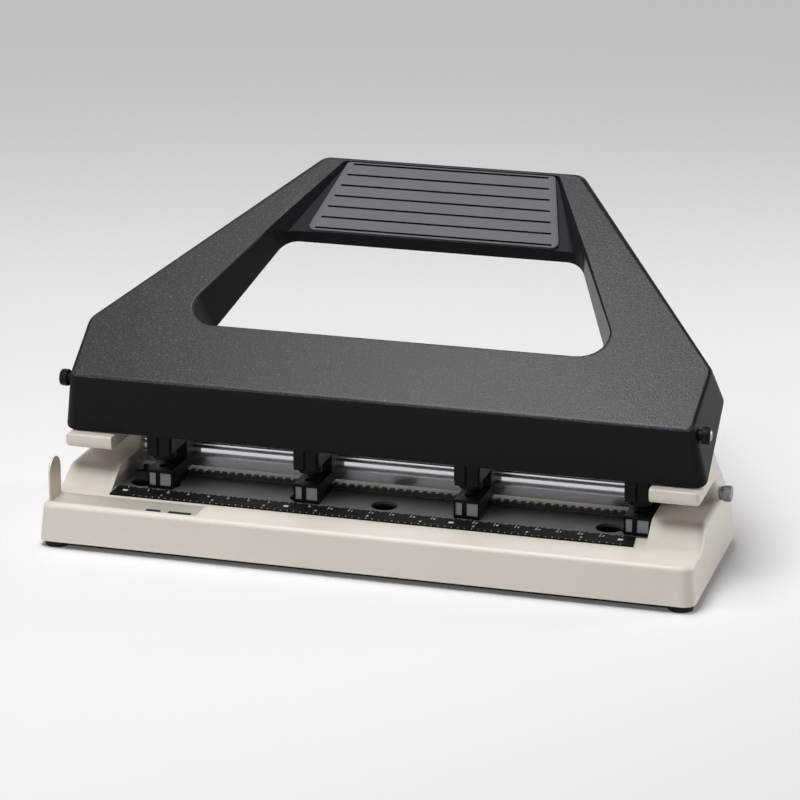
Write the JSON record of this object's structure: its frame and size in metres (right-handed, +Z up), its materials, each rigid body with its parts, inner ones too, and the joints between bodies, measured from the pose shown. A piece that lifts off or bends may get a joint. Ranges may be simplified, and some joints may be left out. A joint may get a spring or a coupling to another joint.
{
  "type": "adjustable desk hole punch",
  "caption": "Manual desk punch with a cream cast base, a wide black lever over adjustable punch heads, a chip drawer and a sliding paper guide.",
  "frame": {"origin": "centre of the bounding box on the surface that the feet stand on", "axes": "+X along the base to the right, +Y from the paper side to the grip side, +Z up"},
  "size_m": [0.3172, 0.1712, 0.1587],
  "materials": {
    "cream_paint": "satin",
    "black_cover": "fine texture",
    "black_metal": "semi gloss",
    "dark_trim": "matte",
    "grip_rubber": "smooth",
    "foot_rubber": "matte",
    "plate_steel": "brushed",
    "bright_steel": "polished",
    "spring_steel": "plain",
    "guide_nickel": "satin"
  },
  "bodies": {
    "base": {"base_casting": "cream_paint", "bottom_plate": "dark_trim", "foot_1": "foot_rubber", "foot_2": "foot_rubber", "foot_3": "foot_rubber", "foot_4": "foot_rubber", "bed_plate": "plate_steel", "scale_strip": "dark_trim", "stop_rack": "plate_steel", "guide_bar": "bright_steel"},
    "lever": {"lever_cover": "black_cover", "grip_pad": "grip_rubber", "lever_frame": "plate_steel", "pressure_bar": "bright_steel", "hinge_pin_1": "black_metal", "hinge_pin_2": "black_metal"},
    "drawer": {"chip_drawer": "dark_trim"},
    "guide": {"paper_guide": "guide_nickel"},
    "lock": {"lock_shaft": "bright_steel"},
    "head_body_1": {"head_1": "black_metal", "die_1": "bright_steel", "index_window_1": "plate_steel", "spring_1": "spring_steel"},
    "catch_body_1": {"catch_1": "black_metal"},
    "pin_body_1": {"punch_pin_1": "bright_steel"},
    "head_body_2": {"head_2": "black_metal", "die_2": "bright_steel", "index_window_2": "plate_steel", "spring_2": "spring_steel"},
    "catch_body_2": {"catch_2": "black_metal"},
    "pin_body_2": {"punch_pin_2": "bright_steel"},
    "head_body_3": {"head_3": "black_metal", "die_3": "bright_steel", "index_window_3": "plate_steel", "spring_3": "spring_steel"},
    "catch_body_3": {"catch_3": "black_metal"},
    "pin_body_3": {"punch_pin_3": "bright_steel"},
    "head_body_4": {"head_4": "black_metal", "die_4": "bright_steel", "index_window_4": "plate_steel", "spring_4": "spring_steel"},
    "catch_body_4": {"catch_4": "black_metal"},
    "pin_body_4": {"punch_pin_4": "bright_steel"}
  },
  "joints": [
    {"name": "lever_hinge", "type": "hinge", "parent": "base", "child": "lever", "pos_m": [0, -0.05138, 0.074], "axis": [-1, 0, 0], "range_deg": [0, 25], "stiffness_Nm_per_rad": 1, "springref_deg": -34.38},
    {"name": "drawer_slide", "type": "slide", "parent": "base", "child": "drawer", "axis": [-1, 0, 0], "range_m": [0, 0.12]},
    {"name": "guide_slide", "type": "slide", "parent": "base", "child": "guide", "axis": [-1, 0, 0], "range_m": [0, 0.03]},
    {"name": "lock_slide", "type": "slide", "parent": "base", "child": "lock", "axis": [1, 0, 0], "range_m": [0, 0.004]},
    {"name": "head_slide_1", "type": "slide", "parent": "base", "child": "head_body_1", "axis": [1, 0, 0], "range_m": [-0.011, 0.028]},
    {"name": "catch_push_1", "type": "slide", "parent": "head_body_1", "child": "catch_body_1", "axis": [0, 1, 0], "range_m": [0, 0.002], "stiffness_N_per_m": 800, "springref_m": -0.002},
    {"name": "pin_slide_1", "type": "slide", "parent": "head_body_1", "child": "pin_body_1", "axis": [0, 0, -1], "range_m": [0, 0.0058], "deforming": ["spring_1"]},
    {"name": "head_slide_2", "type": "slide", "parent": "base", "child": "head_body_2", "axis": [1, 0, 0], "range_m": [-0.028, 0.038]},
    {"name": "catch_push_2", "type": "slide", "parent": "head_body_2", "child": "catch_body_2", "axis": [0, 1, 0], "range_m": [0, 0.002], "stiffness_N_per_m": 800, "springref_m": -0.002},
    {"name": "pin_slide_2", "type": "slide", "parent": "head_body_2", "child": "pin_body_2", "axis": [0, 0, -1], "range_m": [0, 0.0058], "deforming": ["spring_2"]},
    {"name": "head_slide_3", "type": "slide", "parent": "base", "child": "head_body_3", "axis": [1, 0, 0], "range_m": [-0.026, 0.028]},
    {"name": "catch_push_3", "type": "slide", "parent": "head_body_3", "child": "catch_body_3", "axis": [0, 1, 0], "range_m": [0, 0.002], "stiffness_N_per_m": 800, "springref_m": -0.002},
    {"name": "pin_slide_3", "type": "slide", "parent": "head_body_3", "child": "pin_body_3", "axis": [0, 0, -1], "range_m": [0, 0.0058], "deforming": ["spring_3"]},
    {"name": "head_slide_4", "type": "slide", "parent": "base", "child": "head_body_4", "axis": [1, 0, 0], "range_m": [-0.028, 0.0005]},
    {"name": "catch_push_4", "type": "slide", "parent": "head_body_4", "child": "catch_body_4", "axis": [0, 1, 0], "range_m": [0, 0.002], "stiffness_N_per_m": 800, "springref_m": -0.002},
    {"name": "pin_slide_4", "type": "slide", "parent": "head_body_4", "child": "pin_body_4", "axis": [0, 0, -1], "range_m": [0, 0.0058], "deforming": ["spring_4"]}
  ],
  "couplings": [
    {"joint": "pin_slide_1", "follows": "lever_hinge", "m_per_rad": 0.0129},
    {"joint": "pin_slide_2", "follows": "lever_hinge", "m_per_rad": 0.0129},
    {"joint": "pin_slide_3", "follows": "lever_hinge", "m_per_rad": 0.0129},
    {"joint": "pin_slide_4", "follows": "lever_hinge", "m_per_rad": 0.0129}
  ]
}
